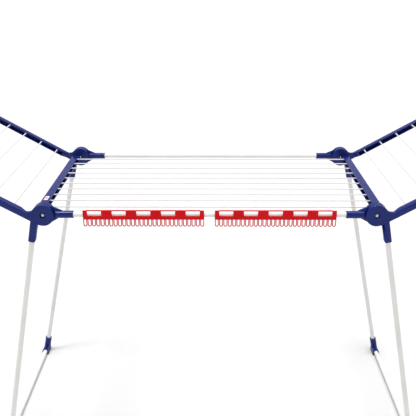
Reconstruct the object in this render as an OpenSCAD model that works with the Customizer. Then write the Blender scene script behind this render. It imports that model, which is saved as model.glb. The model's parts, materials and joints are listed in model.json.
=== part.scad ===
// Free-standing wing-type clothes drying rack.
// X runs along the long side, Y from front to back, Z up. The origin is on the floor, under the middle.
// Each corner is built in its own frame: x points outboard, y points inward from the outer hub face,
// and z is measured from the pivot. A wing frame and a leg frame are that frame turned about the pivot.

/* [Frame] */
// Distance between the left and right pivots
pivot_span = 950; // [930:10:1000]
// Depth over the outer faces of the hubs
frame_depth = 573; // [560:1:600]
// Height of the pivots above the floor
pivot_height = 835; // [820:5:840]
// Outer diameter of every steel tube
tube_d = 16; // [15:0.5:16]
// Wall thickness of the steel tubes
tube_wall = 1; // [0.8:0.1:1.5]

/* [Washing lines] */
// Diameter of the coated line
line_d = 3.8; // [3.4:0.1:4]
// Number of lines across the middle
centre_line_count = 10; // [8:1:10]
// Distance between two lines in the middle
centre_line_pitch = 50; // [45:1:50]
// Number of lines on each wing
wing_line_count = 6; // [4:1:6]
// Distance between two lines on a wing
wing_line_pitch = 62; // [58:1:62]

/* [Wings] */
// Angle of an opened wing above the horizontal
wing_rise = 30; // [28:1:32]
// Distance from the pivot to a wing's end tube
wing_reach = 452; // [448:1:455]
// Height of a wing arm's section
arm_h = 18; // [17:0.5:18]

/* [Legs] */
// Angle of an opened leg from the vertical
leg_splay = 12.3; // [11.8:0.1:12.6]
// How far each foot stands inside its socket
foot_inset = 26; // [25:1:30]

/* [Clip-on holders] */
// Length of a small-item holder
holder_l = 345; // [340:1:345]
// Distance between two hanging loops
loop_pitch = 12.7; // [12.5:0.1:12.7]

/* [Hidden] */

$fn = 48;
plastic_blue = [0.13, 0.15, 0.5];
plastic_red = [0.8, 0.08, 0.1];
tube_white = [0.93, 0.92, 0.9];
line_white = [0.96, 0.96, 0.96];
zinc = [0.75, 0.75, 0.77];

tube_r = tube_d / 2;
line_r = line_d / 2;
seat_r = tube_r + 0.05;
half_depth = frame_depth / 2;

// How deep joined shapes bite into each other, and how far a cutting shape runs past a surface
bite = 0.03;
cut_past = 1;

// Layers through a corner, outer face first: wing hub, corner plate, leg hub, corner flange.
hub_r = 32;
wing_hub_y = 12;
plate_y = [12.4, 17.4];
leg_hub_y = [17.8, 22.8];
flange_y = [23.2, 29.2];
tube_y = 11.5;

// Pivot bolt and nut
bolt_r = 3;
pivot_r = 3.05;
bolt_head_r = 5;
bolt_head_y = [2, 5.5];
bolt_end_y = 29;
nut_y = [24.5, 29.1];
nut_r = 5.77;
nut_pocket_r = 5.9;
nut_pocket_y = nut_y[0] - 0.1;
recess_r = 7.6;
recess_y = 5.8;

// Shallow ring that is sunk into the hub's face
ring_r = [recess_r + 2.5, hub_r - 4.5];
ring_y = 0.8;

// Sleeve that holds a long tube, and its clearance round the turning wing hub
sleeve_r = 10.75;
sleeve_l = 87;
sleeve_root_r = 38.5;
tube_seat_x = 42;
web_top_x = 54;
web_bottom_x = 46;
leg_hub_r = 28;
web_edge = sleeve_r - 0.1;
bridge_r = leg_hub_r + 0.5;

// End bar: a channel that is open towards the middle, with a post behind each line's end
bar_x = [3.8, 30.5];
bar_z = [-13, 8];
bar_wall = 2.5;
bar_round = 7;
bar_plug_l = 20;
plug_gap = 0.2;
post_w = 8;
post_gap = 0.4;
line_z = 2.5;
line_end_x = 11;
bar_post_x = line_end_x + line_d + post_gap;

// Wing arm: a channel that is open on its inner face, with two pegs beside each line
arm_top = -15.5;
arm_y = [1.5, 21.5];
arm_wall = 2.5;
arm_root_r = 46;
arm_hollow_u = 64;
arm_joint = wing_reach - 18;
arm_plug_l = 24;
arm_plug_z = [arm_top - arm_h + arm_wall + plug_gap, arm_top - arm_wall - plug_gap];
arm_blend = 20;
arm_axis = arm_top - arm_h / 2;
arm_groove = [2.2, 3.4];
arm_groove_y = 1;
arm_groove_end = 3;
first_wing_line = wing_reach - 56 - (wing_line_count - 1) * wing_line_pitch;
wing_line_drop = arm_top - 4.8;
wing_line_end_y = 9;
turn_gap = 0.02;
peg_y = [wing_line_end_y + post_gap, 14.4];
peg_u = [line_r + post_gap, 5.4];
anchor_hole_r = 2;
elbow_r = 11;
elbow_sleeve_l = 24;

// Leg and foot
leg_offset = 22.5;
socket_w = 22;
socket_l = 92;
web_reach = 37.5;
socket_slot_r = 50;
socket_slot_y = [plate_y[0] - 0.3, leg_hub_y[0] - 0.2];
socket_hub_r = hub_r + 1.2;
socket_web_x = [leg_offset - socket_w / 2 + 0.5, leg_offset + socket_w / 2 - 0.5];
below_arm_z = arm_top - arm_h - 0.5;
socket_round = 6;
socket_edge_r = 6.5;
socket_margin = 1;
toe_z = 30;
foot_axis_h = 14;
foot_r = 12;
foot_sleeve_l = 48;
foot_inner_l = 34;
foot_drop = (pivot_height - foot_axis_h + leg_offset * sin(leg_splay)) / cos(leg_splay);
toe_angle = atan(foot_inset / (foot_drop - toe_z));
leg_axis_l = (foot_drop - toe_z) / cos(toe_angle);
foot_x = leg_offset * cos(leg_splay) + foot_drop * sin(leg_splay);
foot_y = tube_y + foot_inset;
leg_tube_z = [46, toe_z + leg_axis_l - foot_axis_h];

// Holder: a plate with windows in front of the tube, and clips over the tube between the windows
holder_x = 15;
holder_y = [0.3, 3.2];
holder_z = [-12, 16];
window_n = 5;
window_w = 39.6;
window_pitch = 70;
window_z = [-1.5, 13.8];
window_rim = 1;
rim_w = window_w + 4;
loop_w = 11.2;
loop_gap = 6.2;
loop_l = 16;
loop_n = 28;
clip_w = 24;
clip_t = 2.5;
clip_inner_r = tube_r + 0.3;

// ---- Placing ----

// One corner: side is -1 left or 1 right, end is -1 front or 1 rear
module at_corner(side, end)
    translate([side * pivot_span / 2, end * half_depth, pivot_height])
        mirror([side < 0 ? 1 : 0, 0, 0])
            mirror([0, end > 0 ? 1 : 0, 0])
                children();

// A whole side, with y from the middle of the rack
module at_side(side)
    translate([side * pivot_span / 2, 0, pivot_height])
        mirror([side < 0 ? 1 : 0, 0, 0])
            children();

module in_wing() rotate([0, -wing_rise, 0]) children();

module in_leg() rotate([0, -leg_splay, 0]) children();

// Leans a leg inwards, starting just below its hub
module toed_in()
    translate([0, 0, -toe_z]) rotate([toe_angle, 0, 0]) translate([0, 0, toe_z]) children();

// An x-z outline made solid between two depths
module slab(y0, y1)
    translate([0, y1, 0]) rotate([90, 0, 0]) linear_extrude(y1 - y0) children();

// A round bar along y
module y_rod(r, y0, y1)
    translate([0, y0, 0]) rotate([-90, 0, 0]) cylinder(r = r, h = y1 - y0);

// A hexagonal bar along y
module hexagon(r, y0, y1)
    translate([0, y0, 0]) rotate([-90, 0, 0]) cylinder(r = r, h = y1 - y0, $fn = 6);

// ---- Shared outlines ----

// A rectangle from its x limits and z limits
module box_outline(x, z) translate([x[0], z[0]]) square([x[1] - x[0], z[1] - z[0]]);

// The same with its four corners rounded
module rounded_box(x, z, r)
    difference() {
        box_outline(x, z);
        for (i = [0, 1], j = [0, 1])
            translate([x[i] + r - 2 * r * i, z[j] + r - 2 * r * j])
                mirror([1 - i, 0])
                    mirror([0, 1 - j])
                        difference() {
                            square(r + 1);
                            circle(r);
                        }
    }

// The concave corner between a disc of radius r and a straight edge at height h
module root_blend(r, h, blend) {
    c = [sqrt(pow(r + blend, 2) - pow(h + blend, 2)), h + blend];
    difference() {
        polygon([[0, 0], c, [c[0], h], [0, h]]);
        translate(c) circle(blend + bite);
    }
}

// A wedge with its point on the pivot, from angle a0 to angle a1
module wedge(a0, a1) polygon([[0, 0], for (i = [0 : 4]) 2 * hub_r * [cos(a0 + i * (a1 - a0) / 4),
                                                                     sin(a0 + i * (a1 - a0) / 4)]]);

// ---- Steel tubes ----

// A tube along y, centred
module y_tube(length)
    difference() {
        y_rod(tube_r, -length / 2, length / 2);
        y_rod(tube_r - tube_wall, -length / 2 - 1, length / 2 + 1);
    }

module long_tube(end)
    color(tube_white)
        translate([0, end * (half_depth - tube_y), pivot_height])
            rotate([0, 0, 90])
                y_tube(pivot_span - 2 * tube_seat_x);

module wing_tube(side)
    color(tube_white)
        at_side(side)
            in_wing()
                translate([wing_reach, 0, arm_axis])
                    y_tube(frame_depth - 14);

module floor_tube(side)
    color(tube_white)
        at_side(side)
            translate([foot_x, 0, foot_axis_h - pivot_height])
                y_tube(frame_depth - 2 * foot_y + 10);

module leg_tube(side, end)
    color(tube_white)
        at_corner(side, end)
            in_leg()
                toed_in()
                    translate([leg_offset, tube_y, -leg_tube_z[1]])
                        difference() {
                            cylinder(r = tube_r, h = leg_tube_z[1] - leg_tube_z[0]);
                            translate([0, 0, -1])
                                cylinder(r = tube_r - tube_wall, h = leg_tube_z[1] - leg_tube_z[0] + 2);
                        }

// ---- Middle frame ----

// Half of the web between the corner plate and the sleeve: its edge is a tangent to the disc
module web_half(reach) {
    lean = acos(hub_r / sqrt(reach * reach + web_edge * web_edge));
    touch = 180 - atan(web_edge / reach) - lean;
    polygon([[0, 0], (hub_r - bite) * [cos(touch), sin(touch)], [-reach, web_edge], [-reach, 0]]);
}

module corner_plate_outline() {
    circle(hub_r);
    web_half(web_top_x);
    mirror([0, 1]) web_half(web_bottom_x);
}

module corner_sleeve()
    difference() {
        translate([-sleeve_l, tube_y, 0]) rotate([0, 90, 0]) cylinder(r = sleeve_r, h = sleeve_l - leg_hub_r);
        y_rod(sleeve_root_r, -1, plate_y[0]);
        y_rod(hub_r + 1, plate_y[1], flange_y[0]);
    }

// The end bar's section, and the hollow in it: the outer top edge is round, and the inner face is open
module bar_outline() bar_rounded(0, -1, bar_round);

module bar_hollow() bar_rounded(bar_wall, -bar_x[0] - 1, bar_round - bar_wall);

module bar_rounded(wall, x0, round)
    difference() {
        box_outline([x0, bar_x[1] - wall], [bar_z[0] + wall, bar_z[1] - wall]);
        translate([bar_x[1] - bar_round, bar_z[1] - bar_round])
            difference() {
                square(bar_round);
                circle(round);
            }
    }

// The rim that carries the flange over the leg hub
module corner_bridge()
    slab(plate_y[1], flange_y[1])
        intersection() {
            difference() {
                circle(hub_r);
                circle(bridge_r);
            }
            wedge(10, 150);
        }

module corner_flange() {
    slab(flange_y[0], flange_y[1]) {
        circle(hub_r);
        intersection() {
            bar_outline();
            box_outline([0, bar_x[1]], bar_z);
        }
    }
    slab(flange_y[1], flange_y[1] + bar_plug_l)
        bar_rounded(bar_wall + plug_gap, bar_x[0] + 1, bar_round - bar_wall - plug_gap);
}

module corner(side, end)
    color(plastic_blue)
        at_corner(side, end)
            difference() {
                union() {
                    slab(plate_y[0], plate_y[1]) corner_plate_outline();
                    corner_sleeve();
                    corner_bridge();
                    corner_flange();
                }
                y_rod(pivot_r, 0, flange_y[1] + cut_past);
                hexagon(nut_pocket_r, nut_pocket_y, flange_y[1] + cut_past);
                translate([-sleeve_l - 1, tube_y, 0]) rotate([0, 90, 0])
                    cylinder(r = seat_r, h = sleeve_l + 1 - tube_seat_x);
            }

module end_bar(side)
    color(plastic_blue)
        at_side(side)
            difference() {
                slab(flange_y[1] - half_depth, half_depth - flange_y[1])
                    intersection() {
                        bar_outline();
                        box_outline(bar_x, bar_z);
                    }
                difference() {
                    slab(-half_depth, half_depth) bar_hollow();
                    for (k = [0 : centre_line_count - 1])
                        translate([0, centre_line_y(k), 0])
                            slab(-post_w / 2, post_w / 2) box_outline([bar_post_x, bar_x[1]], bar_z);
                }
            }

// ---- Washing lines ----

function centre_line_y(k) = (k - (centre_line_count - 1) / 2) * centre_line_pitch;

function wing_line_u(k) = first_wing_line + k * wing_line_pitch;

module centre_lines()
    color(line_white)
        for (k = [0 : centre_line_count - 1])
            translate([-pivot_span / 2 - line_end_x, centre_line_y(k), pivot_height + line_z])
                rotate([0, 90, 0])
                    cylinder(r = line_r, h = pivot_span + 2 * line_end_x);

// The short turns inside the end bars that join each line to the next
module centre_line_turns()
    color(line_white)
        for (k = [0 : centre_line_count - 2])
            at_side(k % 2 == 0 ? 1 : -1)
                translate([line_end_x + line_r + turn_gap, 0, line_z])
                    y_rod(line_r, centre_line_y(k) - line_r, centre_line_y(k + 1) + line_r);

module wing_lines(side)
    color(line_white)
        at_side(side)
            in_wing()
                for (k = [0 : wing_line_count - 1])
                    translate([wing_line_u(k), 0, wing_line_drop])
                        y_rod(line_r, wing_line_end_y - half_depth, half_depth - wing_line_end_y);

// The short turns inside the wing arms
module wing_line_turns(side)
    color(line_white)
        for (k = [0 : wing_line_count - 2])
            at_corner(side, k % 2 == 0 ? side : -side)
                in_wing()
                    translate([wing_line_u(k) - line_r, wing_line_end_y - line_r - turn_gap, wing_line_drop])
                        rotate([0, 90, 0])
                            cylinder(r = line_r, h = wing_line_pitch + line_d);

// ---- Wings ----

module arm_outline(u0, u1) box_outline([u0, u1], [arm_top - arm_h, arm_top]);

// What is cut out of an arm: the open channel, less the pegs that its lines turn round
module arm_hollow()
    difference() {
        slab(arm_y[0] + arm_wall, arm_y[1] + 1)
            box_outline([arm_hollow_u, arm_joint + 1], [arm_top - arm_h + arm_wall, arm_top - arm_wall]);
        for (k = [0 : wing_line_count - 1], turn = [-1, 1])
            translate([wing_line_u(k), 0, 0])
                slab(peg_y[0], peg_y[1])
                    arm_outline(min(turn * peg_u[0], turn * peg_u[1]), max(turn * peg_u[0], turn * peg_u[1]));
    }

module wing_hub()
    difference() {
        slab(0, wing_hub_y) circle(hub_r);
        y_rod(recess_r, -cut_past, recess_y);
        slab(-cut_past, ring_y)
            difference() {
                circle(ring_r[1]);
                circle(ring_r[0]);
            }
    }

// The arm's inner part: it slopes from the hub's layer out to the arm's full depth
module arm_inner_layer()
    translate([0, 0, arm_top - arm_h])
        linear_extrude(arm_h)
            polygon([[arm_root_r, wing_hub_y], [arm_hollow_u, arm_y[1]], [arm_joint, arm_y[1]],
                     [arm_joint, wing_hub_y]]);

module arm(side, end)
    color(plastic_blue)
        at_corner(side, end)
            in_wing()
                difference() {
                    union() {
                        wing_hub();
                        slab(arm_y[0], wing_hub_y)
                            difference() {
                                union() {
                                    arm_outline(0, arm_joint);
                                    root_blend(hub_r, arm_top, arm_blend);
                                }
                                circle(hub_r - 2);
                            }
                        arm_inner_layer();
                    }
                    arm_hollow();
                    slab(0, arm_y[0] + arm_groove_y)
                        box_outline([arm_hollow_u, arm_joint - arm_groove_end],
                                    [arm_top - arm_groove[1], arm_top - arm_groove[0]]);
                    if (side != end)
                        for (k = [0, wing_line_count - 1])
                            translate([wing_line_u(k), 0, arm_axis])
                                y_rod(anchor_hole_r, 0, arm_y[0] + arm_wall + 1);
                    y_rod(pivot_r, 0, wing_hub_y + 1);
                }

// The moulded elbow that joins an arm to the wing's end tube
module arm_end(side, end)
    color(plastic_blue)
        at_corner(side, end)
            in_wing()
                difference() {
                    union() {
                        slab(arm_y[0], arm_y[1]) {
                            arm_outline(arm_joint, wing_reach);
                            translate([wing_reach, arm_axis]) circle(elbow_r);
                        }
                        slab(arm_y[0] + arm_wall + plug_gap, arm_y[1] - 1)
                            box_outline([arm_joint - arm_plug_l, arm_joint + 1], arm_plug_z);
                        translate([wing_reach, 0, arm_axis])
                            y_rod(elbow_r, arm_y[1], arm_y[1] + elbow_sleeve_l);
                    }
                    translate([wing_reach, 0, arm_axis]) y_rod(seat_r, 6, arm_y[1] + elbow_sleeve_l + 1);
                }

// ---- Legs ----

// The socket keeps below the lower edge of an opened wing arm
module below_arm()
    difference() {
        children();
        rotate(wing_rise - leg_splay) box_outline([-hub_r, 4 * hub_r], [below_arm_z, 2 * hub_r]);
    }

// The socket's height and the round corner at its inner lower edge
module socket_outline() {
    x = [leg_offset - socket_w / 2, leg_offset + socket_w / 2];
    below_arm()
        difference() {
            box_outline([x[0] - socket_margin, x[1] + socket_margin], [-socket_l, 0]);
            difference() {
                box_outline([x[0] - 2 * socket_margin, x[0] + socket_round],
                            [-socket_l - 1, -socket_l + socket_round]);
                translate([x[0] + socket_round, -socket_l + socket_round]) circle(socket_round);
            }
        }
}

// The round-edged column that the socket is cut from
module socket_column()
    translate([0, 0, -socket_l - 1])
        linear_extrude(socket_l + 2)
            rounded_box([leg_offset - socket_w / 2, leg_offset + socket_w / 2], arm_y, socket_edge_r);

module leg_web_outline() {
    circle(leg_hub_r);
    intersection() {
        box_outline(socket_web_x, [-web_reach, -12]);
        circle(web_reach);
    }
    box_outline(socket_web_x, [-web_reach - 6, -web_reach]);
}

module socket(side, end)
    color(plastic_blue)
        at_corner(side, end)
            in_leg()
                difference() {
                    union() {
                        slab(leg_hub_y[0], leg_hub_y[1]) leg_web_outline();
                        difference() {
                            toed_in()
                                intersection() {
                                    slab(arm_y[0] - 1, arm_y[1] + 1) socket_outline();
                                    socket_column();
                                }
                            y_rod(socket_hub_r, -2, socket_slot_y[1]);
                            y_rod(socket_slot_r, socket_slot_y[0], socket_slot_y[1]);
                        }
                    }
                    y_rod(pivot_r, leg_hub_y[0] - 1, leg_hub_y[1] + 1);
                    toed_in()
                        translate([leg_offset, tube_y, -socket_l - 1])
                            cylinder(r = seat_r, h = socket_l + 1 - leg_tube_z[0]);
                }

// A foot joins a leg to the floor tube and stands on a flat sole
module foot(side, end)
    color(plastic_blue)
        at_corner(side, end)
            difference() {
                union() {
                    translate([foot_x, 0, foot_axis_h - pivot_height])
                        y_rod(foot_r, foot_y - foot_r, foot_y + foot_inner_l);
                    in_leg()
                        toed_in()
                            translate([leg_offset, tube_y, -toe_z - leg_axis_l])
                                cylinder(r = foot_r, h = foot_sleeve_l);
                    translate([foot_x - foot_r, foot_y - foot_r, -pivot_height])
                        cube([2 * foot_r, foot_inner_l + foot_r, foot_axis_h]);
                }
                translate([foot_x, 0, foot_axis_h - pivot_height])
                    y_rod(seat_r, foot_y - 6, foot_y + foot_inner_l + 1);
                in_leg()
                    toed_in()
                        translate([leg_offset, tube_y, -leg_tube_z[1]])
                            cylinder(r = seat_r, h = foot_sleeve_l);
            }

// ---- Pivots ----

module pivot_bolts()
    color(zinc)
        for (side = [-1, 1], end = [-1, 1])
            at_corner(side, end) {
                y_rod(bolt_head_r, bolt_head_y[0], bolt_head_y[1]);
                y_rod(bolt_r, bolt_head_y[1], bolt_end_y);
            }

module pivot_nuts()
    color(plastic_blue)
        for (side = [-1, 1], end = [-1, 1])
            at_corner(side, end)
                difference() {
                    hexagon(nut_r, nut_y[0], nut_y[1]);
                    y_rod(pivot_r, nut_y[0] - 1, nut_y[1] + 1);
                }

// ---- Clip-on holders ----

// Places a holder with x from its own middle
module at_holder(side)
    translate([side * (holder_x + holder_l / 2), -half_depth, pivot_height]) children();

function window_x(i) = (i - (window_n - 1) / 2) * window_pitch;

module hanging_loop()
    difference() {
        union() {
            box_outline([-loop_w / 2, loop_w / 2], [-loop_l, 1]);
            translate([0, -loop_l]) circle(loop_w / 2);
        }
        box_outline([-loop_gap / 2, loop_gap / 2], [-loop_l, -2]);
        translate([0, -loop_l]) circle(loop_gap / 2);
    }

module holder(side)
    color(plastic_red)
        at_holder(side)
            slab(holder_y[0], holder_y[1])
                difference() {
                    union() {
                        box_outline([-holder_l / 2, holder_l / 2], holder_z);
                        for (i = [0 : window_n - 1])
                            translate([window_x(i), 0])
                                box_outline([-rim_w / 2, rim_w / 2], [0, holder_z[1] + window_rim]);
                        intersection() {
                            for (k = [0 : loop_n - 1])
                                translate([(k - (loop_n - 1) / 2) * loop_pitch, holder_z[0]])
                                    hanging_loop();
                            box_outline([-holder_l / 2, holder_l / 2], [4 * holder_z[0], 0]);
                        }
                    }
                    for (i = [0 : window_n - 1])
                        translate([window_x(i), 0])
                            box_outline([-window_w / 2, window_w / 2], window_z);
                }

// One clip's section: a strip down from the plate's top edge, then round the back of the tube
module clip_outline() {
    front = holder_y[1] - tube_y;
    difference() {
        union() {
            polygon([[front, window_z[1]], [front, holder_z[1]], [front + clip_t, holder_z[1]],
                     [1, clip_inner_r + clip_t], [1, 0]]);
            intersection() {
                circle(clip_inner_r + clip_t);
                polygon([[0, 0], [0, 20], [20, 20], [20, -14]]);
            }
        }
        circle(clip_inner_r);
        polygon([[front - 1, window_z[1]], [front, window_z[1]], [0, clip_inner_r - 0.5], [front - 1, 0]]);
    }
}

module holder_clips(side)
    color(plastic_red)
        at_holder(side)
            for (i = [0 : window_n - 2])
                translate([window_x(i + 0.5) - clip_w / 2, tube_y, 0])
                    rotate([90, 0, 90])
                        linear_extrude(clip_w)
                            clip_outline();

// ---- Nodes ----

long_tube(-1);  // front_tube
long_tube(1);  // rear_tube
corner(-1, -1);  // front_left_corner
corner(1, -1);  // front_right_corner
corner(-1, 1);  // rear_left_corner
corner(1, 1);  // rear_right_corner
end_bar(-1);  // left_end_bar
end_bar(1);  // right_end_bar
centre_lines();
centre_line_turns();
pivot_bolts();
pivot_nuts();
arm(-1, -1);  // front_left_arm
arm(1, -1);  // front_right_arm
arm(-1, 1);  // rear_left_arm
arm(1, 1);  // rear_right_arm
arm_end(-1, -1);  // front_left_arm_end
arm_end(1, -1);  // front_right_arm_end
arm_end(-1, 1);  // rear_left_arm_end
arm_end(1, 1);  // rear_right_arm_end
wing_tube(-1);  // left_wing_tube
wing_tube(1);  // right_wing_tube
wing_lines(-1);  // left_wing_lines
wing_lines(1);  // right_wing_lines
wing_line_turns(-1);  // left_wing_line_turns
wing_line_turns(1);  // right_wing_line_turns
socket(-1, -1);  // front_left_socket
socket(1, -1);  // front_right_socket
socket(-1, 1);  // rear_left_socket
socket(1, 1);  // rear_right_socket
leg_tube(-1, -1);  // front_left_leg
leg_tube(1, -1);  // front_right_leg
leg_tube(-1, 1);  // rear_left_leg
leg_tube(1, 1);  // rear_right_leg
foot(-1, -1);  // front_left_foot
foot(1, -1);  // front_right_foot
foot(-1, 1);  // rear_left_foot
foot(1, 1);  // rear_right_foot
floor_tube(-1);  // left_floor_tube
floor_tube(1);  // right_floor_tube
holder(-1);  // left_holder
holder(1);  // right_holder
holder_clips(-1);  // left_holder_clips
holder_clips(1);  // right_holder_clips
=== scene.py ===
"""Looks of a folding clothes drying rack: moulded plastic, coated tubes and lines on the CAD frame."""
import json
import math

import bmesh
import bpy
from mathutils import Matrix, Vector
from mathutils.bvhtree import BVHTree
from mathutils.kdtree import KDTree


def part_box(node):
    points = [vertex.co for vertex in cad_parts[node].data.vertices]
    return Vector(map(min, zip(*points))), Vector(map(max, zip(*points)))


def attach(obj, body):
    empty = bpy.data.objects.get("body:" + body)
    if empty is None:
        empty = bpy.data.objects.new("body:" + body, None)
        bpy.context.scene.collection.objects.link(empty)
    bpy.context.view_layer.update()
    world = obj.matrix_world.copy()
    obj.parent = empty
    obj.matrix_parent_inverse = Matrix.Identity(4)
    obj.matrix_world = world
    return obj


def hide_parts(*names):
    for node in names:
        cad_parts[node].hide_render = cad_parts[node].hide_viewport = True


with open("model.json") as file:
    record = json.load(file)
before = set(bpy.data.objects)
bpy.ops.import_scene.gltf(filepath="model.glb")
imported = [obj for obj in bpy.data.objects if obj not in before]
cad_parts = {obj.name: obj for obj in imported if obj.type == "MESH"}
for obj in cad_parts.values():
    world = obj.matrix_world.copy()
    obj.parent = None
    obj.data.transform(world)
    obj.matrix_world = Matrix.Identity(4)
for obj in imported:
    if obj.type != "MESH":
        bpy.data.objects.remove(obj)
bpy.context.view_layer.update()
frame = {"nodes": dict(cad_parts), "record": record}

BODIES = frame["record"]["behaviour"]["bodies"]
BODY_OF = {node: body for body, nodes in BODIES.items() for node in nodes}
SLOT_OF = {s["node"]: s["material_slot"] for s in frame["record"]["subparts"]}
CORNERS = [f"{end}_{side}" for end in ("front", "rear") for side in ("left", "right")]
MM = 0.001


# ---- Camera, lights and floor ----

IMAGE_W = 416
FOCAL_PX = 616.0
SENSOR_W = 36.0
CAMERA_AT = (0.0098, -1.890, 1.5239)
CAMERA_YAW, CAMERA_DOWN, CAMERA_ROLL = 0.5, 22.5, -0.12     # degrees
FLOOR_HALF = 40.0


def make_camera():
    data = bpy.data.cameras.new("camera")
    data.sensor_width = SENSOR_W
    data.lens = FOCAL_PX / IMAGE_W * SENSOR_W
    data.clip_start, data.clip_end = 0.05, 200
    camera = bpy.data.objects.new("camera", data)
    turn = (Matrix.Rotation(math.radians(CAMERA_YAW), 4, "Z")
            @ Matrix.Rotation(math.radians(90 - CAMERA_DOWN), 4, "X")
            @ Matrix.Rotation(math.radians(CAMERA_ROLL), 4, "Z"))
    camera.matrix_world = Matrix.Translation(CAMERA_AT) @ turn
    bpy.context.scene.collection.objects.link(camera)
    bpy.context.scene.camera = camera


def sun(name, towards, power, spread):
    data = bpy.data.lights.new(name, "SUN")
    data.energy = power
    data.angle = math.radians(spread)
    light = bpy.data.objects.new(name, data)
    light.rotation_euler = Vector(towards).to_track_quat("-Z", "Y").to_euler()
    bpy.context.scene.collection.objects.link(light)


def make_lights():
    """A white studio: an even surround, a broad soft light from above and a small one for the edges."""
    sun("overhead_light", (-0.10, -0.15, -1), 1.7, 50)
    sun("edge_light", (0.18, 0.05, -1), 1.6, 14)
    world = bpy.data.worlds.new("studio")
    world.use_nodes = True
    background = world.node_tree.nodes["Background"]
    background.inputs["Color"].default_value = (1.0, 1.0, 1.0, 1)
    background.inputs["Strength"].default_value = 0.62
    bpy.context.scene.world = world
    bpy.context.scene.view_settings.view_transform = "Standard"


def make_floor():
    half = FLOOR_HALF
    corners = [(-half, -half, 0), (half, -half, 0), (half, half, 0), (-half, half, 0)]
    mesh = bpy.data.meshes.new("studio_floor")
    mesh.from_pydata(corners, [], [(0, 1, 2, 3)])
    floor = bpy.data.objects.new("studio_floor", mesh)
    mesh.materials.append(floor_material())
    bpy.context.scene.collection.objects.link(floor)


# ---- Materials ----

class Shader:
    """A Principled material with short calls for its nodes. Texture scales are in features per metre."""

    def __init__(self, name, **sockets):
        self.material = bpy.data.materials.new(name)
        self.material.use_nodes = True
        self.tree = self.material.node_tree
        self.bsdf = self.tree.nodes["Principled BSDF"]
        self.place = self.add("ShaderNodeTexCoord").outputs["Object"]
        for socket, value in sockets.items():
            self.bsdf.inputs[socket.replace("_", " ")].default_value = value

    def add(self, kind, **settings):
        node = self.tree.nodes.new(kind)
        for key, value in settings.items():
            setattr(node, key, value)
        return node

    def link(self, source, target):
        self.tree.links.new(source, target)

    def noise(self, scale, detail=2.0, rough=0.5, stretch=(1, 1, 1)):
        stretched = self.add("ShaderNodeMapping")
        stretched.inputs["Scale"].default_value = stretch
        self.link(self.place, stretched.inputs["Vector"])
        node = self.add("ShaderNodeTexNoise")
        node.inputs["Scale"].default_value = scale
        node.inputs["Detail"].default_value = detail
        node.inputs["Roughness"].default_value = rough
        self.link(stretched.outputs["Vector"], node.inputs["Vector"])
        return node.outputs["Fac"]

    def remap(self, source, low, high, out_low, out_high):
        node = self.add("ShaderNodeMapRange")
        limits = (("From Min", low), ("From Max", high), ("To Min", out_low), ("To Max", out_high))
        for socket, value in limits:
            node.inputs[socket].default_value = value
        self.link(source, node.inputs["Value"])
        return node.outputs["Result"]

    def ramp(self, source, *stops):
        node = self.add("ShaderNodeValToRGB")
        elements = node.color_ramp.elements
        while len(elements) < len(stops):
            elements.new(0.5)
        for element, (position, colour) in zip(elements, stops):
            element.position = position
            element.color = (*colour, 1)
        self.link(source, node.inputs["Fac"])
        return node.outputs["Color"]

    def base(self, colour):
        self.link(colour, self.bsdf.inputs["Base Color"])

    def roughness(self, value):
        self.link(value, self.bsdf.inputs["Roughness"])

    def bump(self, *heights, distance=0.0001):
        """Chains bumps: each height is (source, strength)."""
        normal = None
        for source, strength in heights:
            node = self.add("ShaderNodeBump")
            node.inputs["Strength"].default_value = strength
            node.inputs["Distance"].default_value = distance
            self.link(source, node.inputs["Height"])
            if normal is not None:
                self.link(normal, node.inputs["Normal"])
            normal = node.outputs["Normal"]
        self.link(normal, self.bsdf.inputs["Normal"])


def moulded_plastic(name, dark, mid, light, shine, gloss):
    """Injection-moulded plastic: the colour drifts slightly, over a fine grain and faint flow."""
    s = Shader(name, Specular_IOR_Level=shine, Specular_Tint=(0.82, 0.92, 1.0, 1.0))
    drift = s.noise(22, detail=4, rough=0.6)
    s.base(s.ramp(drift, (0.3, dark), (0.52, mid), (0.78, light)))
    flow = s.noise(40, detail=3, stretch=(0.35, 1, 1))
    s.roughness(s.remap(flow, 0.3, 0.7, gloss - 0.05, gloss + 0.08))
    grain = s.noise(1800, detail=2)
    waves = s.noise(60, detail=1)
    s.bump((grain, 0.10), (waves, 0.12), distance=0.0002)
    return s.material


def powder_coat(name):
    """White powder coat: warm white with a fine orange-peel skin."""
    s = Shader(name, Specular_IOR_Level=0.5)
    drift = s.noise(14, detail=3)
    s.base(s.ramp(drift, (0.3, (0.72, 0.71, 0.68)), (0.55, (0.77, 0.76, 0.735)), (0.8, (0.80, 0.79, 0.77))))
    s.roughness(s.remap(s.noise(90, detail=2), 0.3, 0.7, 0.3, 0.42))
    s.bump((s.noise(900, detail=2), 0.16), (s.noise(260, detail=1), 0.12), distance=0.0002)
    return s.material


def coated_line(name):
    """PVC-coated washing line: off-white, slightly mottled, with a fine rough skin."""
    s = Shader(name, Specular_IOR_Level=0.4)
    s.base(s.ramp(s.noise(120, detail=3), (0.3, (0.66, 0.66, 0.645)), (0.6, (0.71, 0.71, 0.70)),
                  (0.85, (0.75, 0.75, 0.74))))
    s.roughness(s.remap(s.noise(300, detail=2), 0.3, 0.7, 0.38, 0.52))
    s.bump((s.noise(1400, detail=2), 0.3), distance=0.0002)
    return s.material


def zinc_plate(name):
    """Bright zinc plating with slightly cloudy patches and a fine grain."""
    s = Shader(name, Metallic=1.0)
    s.base(s.ramp(s.noise(160, detail=4), (0.3, (0.52, 0.52, 0.53)), (0.6, (0.68, 0.68, 0.69)),
                  (0.85, (0.78, 0.78, 0.77))))
    s.roughness(s.remap(s.noise(700, detail=3), 0.3, 0.7, 0.2, 0.4))
    s.bump((s.noise(2200, detail=2), 0.2), distance=0.0001)
    return s.material


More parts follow.
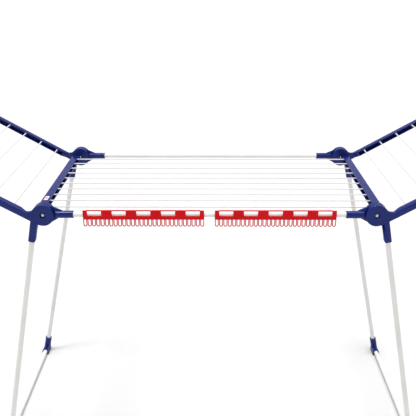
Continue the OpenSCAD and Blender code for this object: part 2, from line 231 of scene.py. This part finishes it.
def label_paper(name, middle):
    """Pale label stock with a plain coral patch in its middle, which is a box in the label's own plane."""
    s = Shader(name, Specular_IOR_Level=0.4)
    paper = s.ramp(s.noise(300, detail=3), (0.3, (0.78, 0.76, 0.72)), (0.7, (0.86, 0.84, 0.81)))
    ink = s.ramp(s.noise(420, detail=3), (0.3, (0.70, 0.20, 0.16)), (0.7, (0.78, 0.27, 0.21)))
    split = s.add("ShaderNodeSeparateXYZ")
    s.link(s.place, split.inputs["Vector"])
    inside = s.add("ShaderNodeMath", operation="MULTIPLY")
    bands = (("X", middle.x, PATCH_HALF_W), ("Y", middle.y, PATCH_HALF_L))
    for socket, (axis, at, half) in enumerate(bands):
        band = s.add("ShaderNodeMath", operation="COMPARE")
        s.link(split.outputs[axis], band.inputs[0])
        band.inputs[1].default_value = at
        band.inputs[2].default_value = half
        s.link(band.outputs["Value"], inside.inputs[socket])
    mix = s.add("ShaderNodeMix", data_type="RGBA")
    s.link(inside.outputs["Value"], mix.inputs["Factor"])
    s.link(paper, mix.inputs["A"])
    s.link(ink, mix.inputs["B"])
    s.base(mix.outputs["Result"])
    s.roughness(s.remap(s.noise(500, detail=2), 0.3, 0.7, 0.3, 0.42))
    s.bump((s.noise(1500, detail=2), 0.1), distance=0.0001)
    return s.material


def floor_material():
    s = Shader("studio_white", Specular_IOR_Level=0.15)
    s.base(s.ramp(s.noise(0.8, detail=2), (0.3, (0.66, 0.66, 0.66)), (0.7, (0.68, 0.68, 0.68))))
    s.roughness(s.remap(s.noise(3, detail=2), 0.3, 0.7, 0.75, 0.85))
    return s.material


MATERIALS = {
    "blue_plastic": moulded_plastic("blue_plastic", (0.002, 0.009, 0.125), (0.0025, 0.011, 0.14),
                                    (0.003, 0.014, 0.155), shine=0.3, gloss=0.24),
    "red_plastic": moulded_plastic("red_plastic", (0.56, 0.0005, 0.004), (0.62, 0.001, 0.006),
                                   (0.68, 0.002, 0.009), shine=0.12, gloss=0.3),
    "white_tube": powder_coat("white_tube"),
    "white_line": coated_line("white_line"),
    "zinc_steel": zinc_plate("zinc_steel"),
}


# ---- Pieces made from the CAD ----

SHARP = math.radians(32)
FLAT = math.radians(0.6)
SAME_PLACE = 0.02 * MM
TINY = 0.01 * MM
ROOM_SHARE = 0.4            # of the room beside an edge, this much may be rounded
STRAY = 0.5                 # roundings' widths from the moulding's surface at which a point is stray
TURNED_OVER = -0.1
EASING = 0.4
EASING_STEPS = 7
BEVEL_SEGMENTS = 3
FLAT_FACE_WEIGHT = 80


def link_piece(name, mesh, body, slot):
    piece = bpy.data.objects.new(name, mesh)
    bpy.context.scene.collection.objects.link(piece)
    mesh.materials.clear()
    mesh.materials.append(MATERIALS[slot])
    mesh.polygons.foreach_set("use_smooth", [True] * len(mesh.polygons))
    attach(piece, body)
    return piece


def room_beside(edge, face):
    """How far the face reaches from this edge before it meets another sharp edge."""
    start, end = (v.co for v in edge.verts)
    middle, along = (start + end) / 2, (end - start)
    half = along.length / 2
    along.normalize()
    inward = face.normal.cross(along)
    if (face.calc_center_median() - middle).dot(inward) < 0:
        inward.negate()
    room = 1.0
    for other in face.edges:
        if other is edge or not other.tag:
            continue
        ends = [v.co for v in other.verts]
        for point in (*ends, (ends[0] + ends[1]) / 2):
            away = (point - middle).dot(inward)
            if away > TINY and abs((point - middle).dot(along)) < half + away:
                room = min(room, away)
    return room


def weigh_edges(bm, rounding):
    """Gives each sharp edge the share of the full rounding that its faces have room for."""
    weight = bm.edges.layers.float.new("bevel_weight_edge")
    for edge in bm.edges:
        edge.tag = edge.is_manifold and edge.calc_face_angle(0) > SHARP
    for edge in bm.edges:
        if edge.tag:
            room = min(room_beside(edge, face) for face in edge.link_faces)
            edge[weight] = min(1.0, ROOM_SHARE * room / rounding)


def rounded_mesh(node, rounding):
    """A copy of the node's mesh with its flat faces made whole and its sharp edges weighed for the bevel."""
    mesh = frame["nodes"][node].data.copy()
    bm = bmesh.new()
    bm.from_mesh(mesh)
    bmesh.ops.remove_doubles(bm, verts=bm.verts, dist=SAME_PLACE)
    bmesh.ops.dissolve_limit(bm, angle_limit=FLAT, verts=bm.verts, edges=bm.edges)
    weigh_edges(bm, rounding)
    bmesh.ops.connect_verts_concave(bm, faces=bm.faces)
    bm.to_mesh(mesh)
    bm.free()
    return mesh


def round_edges(piece, width):
    """Rounds the weighed edges as a mould does, and keeps the flat faces flat."""
    bevel = piece.modifiers.new("moulded_edges", "BEVEL")
    bevel.limit_method = "WEIGHT"
    bevel.width = width
    bevel.segments = BEVEL_SEGMENTS
    bevel.use_clamp_overlap = False
    bevel.miter_outer = "MITER_ARC"
    weighted = piece.modifiers.new("flat_faces", "WEIGHTED_NORMAL")
    weighted.weight = FLAT_FACE_WEIGHT


def faulty_places(piece, surface, width):
    """Corners of the faces that the rounding turned over or drew away from the moulding's own surface."""
    bpy.context.view_layer.update()
    mesh = piece.evaluated_get(bpy.context.evaluated_depsgraph_get()).to_mesh()
    stray = [surface.find_nearest(v.co)[3] > STRAY * width for v in mesh.vertices]
    places = []
    for face in mesh.polygons:
        _, normal, _, _ = surface.find_nearest(face.center)
        if any(stray[v] for v in face.vertices) or face.normal.dot(normal) < TURNED_OVER:
            places += [mesh.vertices[v].co.copy() for v in face.vertices]
    return places


def ease_faults(piece, width):
    """Takes the rounding back, step by step, at the edges where it has no room."""
    mesh = piece.data
    surface = BVHTree.FromPolygons([v.co for v in mesh.vertices], [p.vertices for p in mesh.polygons])
    weights = mesh.attributes["bevel_weight_edge"].data
    for step in range(EASING_STEPS):
        places = faulty_places(piece, surface, width)
        if not places:
            break
        near = KDTree(len(places))
        for i, place in enumerate(places):
            near.insert(place, i)
        near.balance()
        for edge in mesh.edges:
            if min(near.find(mesh.vertices[v].co)[2] for v in edge.vertices) < 2 * width:
                weights[edge.index].value *= EASING if step < EASING_STEPS - 2 else 0
        mesh.update()


def moulding(node, rounding):
    piece = link_piece(f"{node}_moulding", rounded_mesh(node, rounding), BODY_OF[node], SLOT_OF[node])
    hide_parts(node)
    round_edges(piece, rounding)
    ease_faults(piece, rounding)


def keep_cad(node):
    """A CAD node whose shape is right as it is: it only gets its material."""
    mesh = frame["nodes"][node].data
    mesh.materials.clear()
    mesh.materials.append(MATERIALS[SLOT_OF[node]])


# ---- Small-item holders ----

WINDOW_N, WINDOW_W, WINDOW_PITCH = 5, 39.6 * MM, 70 * MM
WINDOW_UP, WINDOW_H = 10.5 * MM, 15.3 * MM        # above the plate's lower edge, and high
WINDOW_RIM_W, WINDOW_RIM_H = 2 * MM, 1 * MM
LOOP_N, LOOP_R, LOOP_L = 28, 4.3 * MM, 16 * MM
LOOP_HALF_W, LOOP_HALF_T = 1.4 * MM, 1.4 * MM
LOOP_ROOT = 1.5 * MM        # how far a loop's ends run up into the plate
LOOP_SIDES, LOOP_TURNS = 12, 10
LOOP_SQUARER = 0.55         # 1 is an ellipse, less is closer to a rectangle
HOLDER_ROUNDING = 0.4 * MM


def holder_plate(bm, low, high, plate_low):
    """The plate with its windows, as a grid of quads with a slightly raised rim over each window."""
    middle = (low.x + high.x) / 2
    plate_high = high.z - WINDOW_RIM_H
    sill = plate_low + WINDOW_UP
    lintel = sill + WINDOW_H
    xs, column = [low.x], []
    for i in range(WINDOW_N):
        at = middle + (i - (WINDOW_N - 1) / 2) * WINDOW_PITCH
        inner = (at - WINDOW_W / 2, at + WINDOW_W / 2)
        xs += [inner[0] - WINDOW_RIM_W, *inner, inner[1] + WINDOW_RIM_W]
        column += ["plain", "rim", "window", "rim"]
    xs.append(high.x)
    column.append("plain")
    rows = ((plate_low, sill), (sill, lintel), (lintel, plate_high), (plate_high, high.z))
    corner = {}

    def point(i, z):
        key = (i, round(z, 6))
        if key not in corner:
            corner[key] = bm.verts.new((xs[i], low.y, z))
        return corner[key]

    faces = []
    for i, kind in enumerate(column):
        for z0, z1 in rows:
            hole = kind == "window" and z0 == sill
            above_plate = kind == "plain" and z0 == plate_high
            if not hole and not above_plate:
                face = (point(i, z0), point(i + 1, z0), point(i + 1, z1), point(i, z1))
                faces.append(bm.faces.new(face))
    made = bmesh.ops.extrude_face_region(bm, geom=faces)
    moved = [v for v in made["geom"] if isinstance(v, bmesh.types.BMVert)]
    bmesh.ops.translate(bm, verts=moved, vec=(0, high.y - low.y, 0))


def hanging_loop(bm, x, top, y):
    """One U-shaped loop: a flat oval bar down from the plate, round, and up again."""
    bend = [math.pi * i / LOOP_TURNS for i in range(LOOP_TURNS + 1)]
    path = [(x - LOOP_R, top + LOOP_ROOT, 0)]
    path += [(x - LOOP_R * math.cos(a), top - LOOP_L - LOOP_R * math.sin(a), a) for a in bend]
    path.append((x + LOOP_R, top + LOOP_ROOT, math.pi))
    around = [2 * math.pi * (j + 0.5) / LOOP_SIDES for j in range(LOOP_SIDES)]
    section = [(math.cos(a), math.sin(a)) for a in around]
    rings = []
    for px, pz, turn in path:
        ring = []
        for across, deep in section:
            u = math.copysign(abs(across) ** LOOP_SQUARER, across) * LOOP_HALF_W
            v = math.copysign(abs(deep) ** LOOP_SQUARER, deep) * LOOP_HALF_T
            ring.append(bm.verts.new((px - u * math.cos(turn), y + v, pz - u * math.sin(turn))))
        rings.append(ring)
    for a, b in zip(rings, rings[1:]):
        for j in range(LOOP_SIDES):
            k = (j + 1) % LOOP_SIDES
            bm.faces.new((a[j], a[k], b[k], b[j]))
    bm.faces.new(rings[0][::-1])
    bm.faces.new(rings[-1])


def make_holder(side):
    node = f"{side}_holder"
    low, high = (Vector(c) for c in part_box(node))
    plate_low = low.z + LOOP_L + LOOP_R + LOOP_HALF_W
    bm = bmesh.new()
    holder_plate(bm, low, high, plate_low)
    weight = bm.edges.layers.float.new("bevel_weight_edge")
    for edge in bm.edges:
        edge[weight] = float(edge.is_manifold and edge.calc_face_angle(0) > SHARP)
    loop_outer = LOOP_R + LOOP_HALF_W
    pitch = (high.x - low.x - 2 * loop_outer) / (LOOP_N - 1)
    for k in range(LOOP_N):
        hanging_loop(bm, low.x + loop_outer + k * pitch, plate_low, (low.y + high.y) / 2)
    bmesh.ops.recalc_face_normals(bm, faces=bm.faces)
    mesh = bpy.data.meshes.new(node)
    bm.to_mesh(mesh)
    bm.free()
    piece = link_piece(f"{node}_plate", mesh, BODY_OF[node], SLOT_OF[node])
    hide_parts(node)
    round_edges(piece, HOLDER_ROUNDING)


# ---- Pivot screws ----

SCREW_HEAD_R, SCREW_SHANK_R = 5 * MM, 3 * MM
SCREW_HEAD_H, SCREW_L = 3.4 * MM, 28 * MM
SCREW_EDGE = 0.3 * MM
DOME_SHARE = 0.55           # of the head's height, its dome takes this much
THREAD_PITCH, THREAD_DEEP, THREAD_N, THREAD_L = 1 * MM, 0.5 * MM, 6, 7 * MM
TIP_CHAMFER = 0.6 * MM
CROSS_W, CROSS_R, CROSS_DEEP = 1.3 * MM, 2.9 * MM, 1.8 * MM
CROSS_TURN = 0.4            # radians
SCREW_SIDES = 40


def screw_profile():
    """Radius and depth along a pan-head screw, from the top of its head to its end."""
    dome = [(SCREW_HEAD_R * math.sin(a), SCREW_HEAD_H * DOME_SHARE * (1 - math.cos(a)))
            for a in (math.radians(degrees) for degrees in range(0, 91, 15))]
    thread_from = SCREW_L - THREAD_L
    shank = [(SCREW_HEAD_R, SCREW_HEAD_H - SCREW_EDGE), (SCREW_HEAD_R - SCREW_EDGE, SCREW_HEAD_H),
             (SCREW_SHANK_R, SCREW_HEAD_H), (SCREW_SHANK_R, thread_from)]
    for i in range(THREAD_N):
        shank += [(SCREW_SHANK_R, thread_from + (i + 0.2) * THREAD_PITCH),
                  (SCREW_SHANK_R - THREAD_DEEP, thread_from + (i + 0.7) * THREAD_PITCH)]
    return dome + shank + [(SCREW_SHANK_R - TIP_CHAMFER, SCREW_L), (0, SCREW_L)]


def screw_mesh(name):
    bm = bmesh.new()
    around = [2 * math.pi * j / SCREW_SIDES for j in range(SCREW_SIDES)]
    rings = []
    for r, depth in screw_profile():
        points = [(r * math.cos(a), depth, r * math.sin(a)) for a in around] if r else [(0, depth, 0)]
        rings.append([bm.verts.new(point) for point in points])
    for a, b in zip(rings, rings[1:]):
        for j in range(SCREW_SIDES):
            k = (j + 1) % SCREW_SIDES
            ring = [a[j % len(a)], a[k % len(a)], b[k % len(b)], b[j % len(b)]]
            bm.faces.new(list(dict.fromkeys(ring)))
    bmesh.ops.recalc_face_normals(bm, faces=bm.faces)
    mesh = bpy.data.meshes.new(name)
    bm.to_mesh(mesh)
    bm.free()
    return mesh


def cross_cutter():
    bm = bmesh.new()
    for turn in (0, math.pi / 2):
        made = bmesh.ops.create_cube(bm, size=1)
        bmesh.ops.scale(bm, verts=made["verts"], vec=(2 * CROSS_R, 2 * CROSS_DEEP, CROSS_W))
        bmesh.ops.rotate(bm, verts=made["verts"], matrix=Matrix.Rotation(turn, 3, "Y"))
    mesh = bpy.data.meshes.new("cross_cutter")
    bm.to_mesh(mesh)
    bm.free()
    return bpy.data.objects.new("cross_cutter", mesh)


def cut_cross(piece, cutter):
    """Cuts the driver's cross into the head and keeps the result as the piece's own mesh."""
    cutter.matrix_world = piece.matrix_world @ Matrix.Rotation(CROSS_TURN, 4, "Y")
    cut = piece.modifiers.new("cross_recess", "BOOLEAN")
    cut.operation = "DIFFERENCE"
    cut.solver = "EXACT"
    cut.object = cutter
    cut.use_self = True
    bpy.context.view_layer.update()
    evaluated = piece.evaluated_get(bpy.context.evaluated_depsgraph_get())
    whole = bpy.data.meshes.new_from_object(evaluated)
    piece.modifiers.clear()
    piece.data = whole


def make_screws():
    """A cross-head screw in each pivot, its head in the hub's recess."""
    low, high = (Vector(c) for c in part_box("pivot_bolts"))
    pivot_x, pivot_z = high.x - SCREW_HEAD_R, (low.z + high.z) / 2
    cutter = cross_cutter()
    bpy.context.scene.collection.objects.link(cutter)
    for name in CORNERS:
        end, side = name.split("_")
        x = pivot_x if side == "right" else -pivot_x
        y, turn = (low.y, 0) if end == "front" else (high.y, math.pi)
        piece = link_piece(f"{name}_screw", screw_mesh(f"{name}_screw"), "frame", "zinc_steel")
        piece.matrix_world = Matrix.Translation((x, y, pivot_z)) @ Matrix.Rotation(turn, 4, "Z")
        cut_cross(piece, cutter)
        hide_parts("pivot_bolts")
    bpy.data.objects.remove(cutter)


# ---- Label ----

LABEL_W, LABEL_L, LABEL_UP = 11 * MM, 30 * MM, 0.12 * MM
LABEL_FROM_FRONT, LABEL_INWARD, LABEL_T = 88 * MM, 1.5 * MM, 0.08 * MM
LABEL_COLUMNS, LABEL_ROWS = 9, 17
PATCH_HALF_W, PATCH_HALF_L = 0.26 * LABEL_W, 0.30 * LABEL_L


def make_label():
    """A plain pale label with a coloured patch, on top of the left end bar near its front end."""
    low, high = (Vector(c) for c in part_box("left_end_bar"))
    x = (low.x + high.x) / 2 + LABEL_INWARD
    middle = Vector((x, low.y + LABEL_FROM_FRONT, high.z + LABEL_UP))
    bm = bmesh.new()
    bmesh.ops.create_grid(bm, x_segments=LABEL_COLUMNS, y_segments=LABEL_ROWS, size=0.5)
    bmesh.ops.scale(bm, verts=bm.verts, vec=(LABEL_W, LABEL_L, 1))
    for v in bm.verts:
        v.co += middle
    solid = bmesh.ops.extrude_face_region(bm, geom=bm.faces[:])
    lower = [v for v in solid["geom"] if isinstance(v, bmesh.types.BMVert)]
    bmesh.ops.translate(bm, verts=lower, vec=(0, 0, -LABEL_T))
    bmesh.ops.recalc_face_normals(bm, faces=bm.faces)
    mesh = bpy.data.meshes.new("blank_label")
    bm.to_mesh(mesh)
    bm.free()
    piece = bpy.data.objects.new("blank_label", mesh)
    bpy.context.scene.collection.objects.link(piece)
    mesh.materials.append(label_paper("label_paper", middle))
    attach(piece, "frame")


make_camera()
make_lights()
make_floor()

for corner in CORNERS:
    moulding(f"{corner}_corner", 1.2 * MM)
    moulding(f"{corner}_arm", 1.6 * MM)
    moulding(f"{corner}_arm_end", 1.4 * MM)
    moulding(f"{corner}_socket", 1.4 * MM)
    moulding(f"{corner}_foot", 1.6 * MM)
    keep_cad(f"{corner}_leg")
for side in ("left", "right"):
    moulding(f"{side}_end_bar", 1.0 * MM)
    make_holder(side)
    moulding(f"{side}_holder_clips", 0.5 * MM)
    for part in ("wing_tube", "wing_lines", "wing_line_turns", "floor_tube"):
        keep_cad(f"{side}_{part}")
for node in ("front_tube", "rear_tube", "centre_lines", "centre_line_turns"):
    keep_cad(node)
moulding("pivot_nuts", 0.6 * MM)
make_screws()
make_label()
